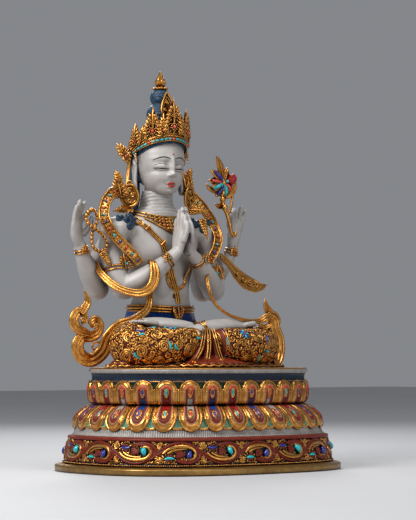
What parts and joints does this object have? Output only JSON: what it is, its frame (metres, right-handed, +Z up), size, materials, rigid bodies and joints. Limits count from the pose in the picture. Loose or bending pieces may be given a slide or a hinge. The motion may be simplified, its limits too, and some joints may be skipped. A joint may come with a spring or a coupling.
{
  "type": "avalokiteshvara statue",
  "caption": "Seated bodhisattva with praying and raised hands, prayer beads and lotus, on a double lotus pedestal.",
  "frame": {"origin": "centre of the pedestal's underside, which is the surface the statue stands on", "axes": "+Z up; the figure faces -Y; +X is to the figure's left"},
  "size_m": [0.404, 0.316, 0.5659],
  "materials": {
    "painted_gilt_pedestal": "gilt copper with brick red, dark blue and silver paint and small stone inlays",
    "silvered_copper": "satin silver paint on cast copper, painted eyes and lips, dark blue hair and lower garment",
    "gilt_copper": "fire gilt and chased, darker in the recesses, with turquoise, coral and lapis inlays",
    "gilt_beads": "gilt beads",
    "gilt_lotus": "gilt leaves with coral, turquoise and lapis petals"
  },
  "bodies": {
    "root": {"lotus_pedestal": "painted_gilt_pedestal", "seated_figure": "silvered_copper", "crown": "gilt_copper", "earring_right": "gilt_copper", "earring_left": "gilt_copper", "shoulder_scarf_right": "gilt_copper", "shoulder_scarf_left": "gilt_copper", "scarf_tail_right": "gilt_copper", "scarf_tail_left": "gilt_copper", "scarf_flutter": "gilt_copper", "mala": "gilt_beads", "lotus_flower": "gilt_lotus"}
  },
  "joints": []
}
